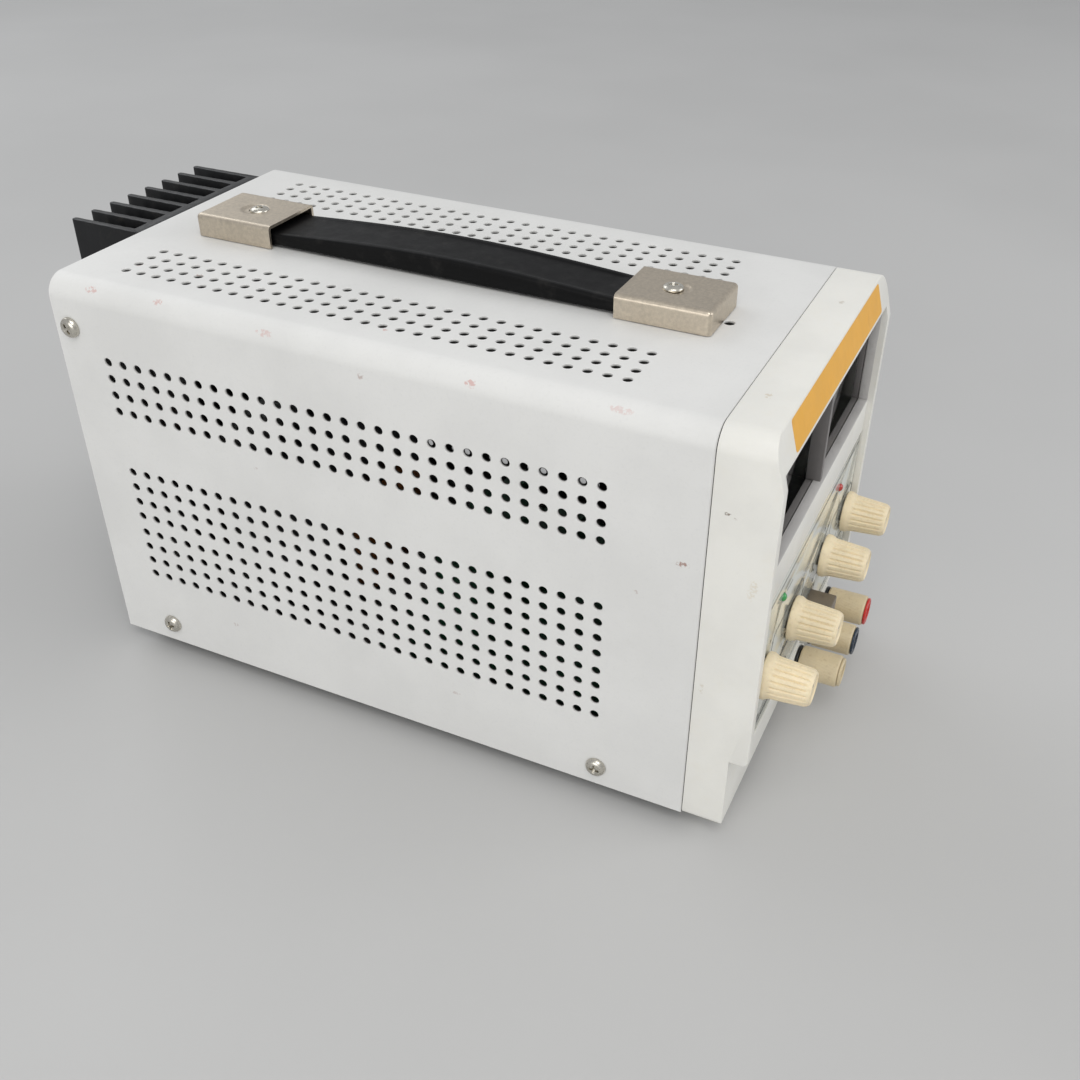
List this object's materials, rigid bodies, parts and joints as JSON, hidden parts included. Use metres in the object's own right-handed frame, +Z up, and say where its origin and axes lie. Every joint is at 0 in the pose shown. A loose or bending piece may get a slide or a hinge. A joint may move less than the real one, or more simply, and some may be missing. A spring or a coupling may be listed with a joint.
{
  "type": "bench power supply",
  "caption": "Bench power supply: perforated grey steel case, smoked readout windows, fluted knobs, binding posts, push switch, flat top handle and rear finned heat sink.",
  "frame": {"origin": "on the bench under the middle of the object's bounding box, at the level of the feet's undersides", "axes": "+Z up, front panel faces -Y, +X to the right as seen from the front"},
  "size_m": [0.1314, 0.2886, 0.1558],
  "materials": {
    "cover_paint": "fine-textured light grey powder coat",
    "bezel_plastic": "fine-textured warm white moulding",
    "panel_print": "glossy light grey panel with thin dark outlines",
    "frame_plastic": "dark grey moulding",
    "smoked_pane": "glossy smoked window",
    "readout_plastic": "dark digit block",
    "green_lens": "translucent green lens",
    "red_lens": "translucent red lens",
    "ivory_plastic": "ivory moulding, slightly yellowed",
    "turned_steel": "plated steel",
    "black_plastic": "black moulding",
    "button_plastic": "grey-brown moulding",
    "brass_stud": "machined brass",
    "red_disc": "red end ring",
    "navy_disc": "blue-black end ring",
    "plain_disc": "plain end ring",
    "strap_vinyl": "semi-gloss black moulding",
    "nickel_sheet": "satin nickel-plated sheet",
    "screw_nickel": "nickel-plated steel",
    "chassis_sheet": "zinc-plated sheet",
    "anodised_black": "black anodised extrusion",
    "core_laminations": "stacked iron laminations",
    "winding_copper": "taped copper winding",
    "circuit_board": "green circuit board with parts",
    "foot_rubber": "moulded rubber"
  },
  "bodies": {
    "case": {"case_cover": "cover_paint", "chassis_tray": "chassis_sheet", "front_bezel": "bezel_plastic", "front_panel": "panel_print", "window_frame": "frame_plastic", "volt_pane": "smoked_pane", "amp_pane": "smoked_pane", "volt_readout": "readout_plastic", "amp_readout": "readout_plastic", "cv_lamp": "green_lens", "cc_lamp": "red_lens", "voltage_fine_pot": "turned_steel", "voltage_coarse_pot": "turned_steel", "current_coarse_pot": "turned_steel", "current_fine_pot": "turned_steel", "power_switch_body": "black_plastic", "ground_post_collar": "black_plastic", "ground_post_stud": "brass_stud", "negative_post_collar": "black_plastic", "negative_post_stud": "brass_stud", "positive_post_collar": "black_plastic", "positive_post_stud": "brass_stud", "handle_end_front": "nickel_sheet", "handle_end_rear": "nickel_sheet", "handle_screw_front": "screw_nickel", "handle_screw_rear": "screw_nickel", "rear_panel": "chassis_sheet", "heat_sink": "anodised_black", "power_transistor": "black_plastic", "mains_inlet": "black_plastic", "transformer_core": "core_laminations", "transformer_winding": "winding_copper", "control_board": "circuit_board", "foot_front_left": "foot_rubber", "foot_front_right": "foot_rubber", "foot_rear_left": "foot_rubber", "foot_rear_right": "foot_rubber", "cover_screw_left_upper_rear": "screw_nickel", "cover_screw_left_lower_rear": "screw_nickel", "cover_screw_left_lower_front": "screw_nickel", "cover_screw_right_upper_rear": "screw_nickel", "cover_screw_right_lower_rear": "screw_nickel", "cover_screw_right_lower_front": "screw_nickel"},
    "voltage_fine": {"voltage_fine_knob": "ivory_plastic", "voltage_fine_shaft": "turned_steel"},
    "voltage_coarse": {"voltage_coarse_knob": "ivory_plastic", "voltage_coarse_shaft": "turned_steel"},
    "current_coarse": {"current_coarse_knob": "ivory_plastic", "current_coarse_shaft": "turned_steel"},
    "current_fine": {"current_fine_knob": "ivory_plastic", "current_fine_shaft": "turned_steel"},
    "power_push": {"power_button": "button_plastic"},
    "ground_end": {"ground_post_ring": "plain_disc"},
    "ground_cap": {"ground_post_cap": "ivory_plastic"},
    "negative_end": {"negative_post_ring": "navy_disc"},
    "negative_cap": {"negative_post_cap": "ivory_plastic"},
    "positive_end": {"positive_post_ring": "red_disc"},
    "positive_cap": {"positive_post_cap": "ivory_plastic"},
    "fuse_holder": {"fuse_drawer": "black_plastic"},
    "strap": {"handle_strap": "strap_vinyl"}
  },
  "joints": [
    {"name": "voltage_fine_turn", "type": "hinge", "parent": "case", "child": "voltage_fine", "pos_m": [-0.0496, -0.135, 0.0602], "axis": [0, 1, 0], "range_deg": [0, 300]},
    {"name": "voltage_coarse_turn", "type": "hinge", "parent": "case", "child": "voltage_coarse", "pos_m": [-0.0191, -0.135, 0.0602], "axis": [0, 1, 0], "range_deg": [0, 300]},
    {"name": "current_coarse_turn", "type": "hinge", "parent": "case", "child": "current_coarse", "pos_m": [0.0191, -0.135, 0.0602], "axis": [0, 1, 0], "range_deg": [0, 300]},
    {"name": "current_fine_turn", "type": "hinge", "parent": "case", "child": "current_fine", "pos_m": [0.0496, -0.135, 0.0602], "axis": [0, 1, 0], "range_deg": [0, 300]},
    {"name": "power_press", "type": "slide", "parent": "case", "child": "power_push", "axis": [0, 1, 0], "range_m": [0, 0.003], "stiffness_N_per_m": 250},
    {"name": "ground_post_travel", "type": "slide", "parent": "case", "child": "ground_end", "axis": [0, -1, 0], "range_m": [0, 0.005]},
    {"name": "ground_post_turn", "type": "hinge", "parent": "ground_end", "child": "ground_cap", "pos_m": [0.0086, -0.136, 0.021], "axis": [0, -1, 0], "range_deg": [0, 1800]},
    {"name": "negative_post_travel", "type": "slide", "parent": "case", "child": "negative_end", "axis": [0, -1, 0], "range_m": [0, 0.005]},
    {"name": "negative_post_turn", "type": "hinge", "parent": "negative_end", "child": "negative_cap", "pos_m": [0.0277, -0.136, 0.021], "axis": [0, -1, 0], "range_deg": [0, 1800]},
    {"name": "positive_post_travel", "type": "slide", "parent": "case", "child": "positive_end", "axis": [0, -1, 0], "range_m": [0, 0.005]},
    {"name": "positive_post_turn", "type": "hinge", "parent": "positive_end", "child": "positive_cap", "pos_m": [0.0469, -0.136, 0.021], "axis": [0, -1, 0], "range_deg": [0, 1800]},
    {"name": "fuse_drawer_slide", "type": "slide", "parent": "case", "child": "fuse_holder", "axis": [0, 1, 0], "range_m": [0, 0.016]},
    {"name": "strap_play", "type": "slide", "parent": "case", "child": "strap", "axis": [0, 1, 0], "range_m": [-0.0025, 0.0025]}
  ],
  "couplings": [
    {"joint": "ground_post_turn", "follows": "ground_post_travel", "rad_per_m": 6283.2},
    {"joint": "negative_post_turn", "follows": "negative_post_travel", "rad_per_m": 6283.2},
    {"joint": "positive_post_turn", "follows": "positive_post_travel", "rad_per_m": 6283.2}
  ]
}
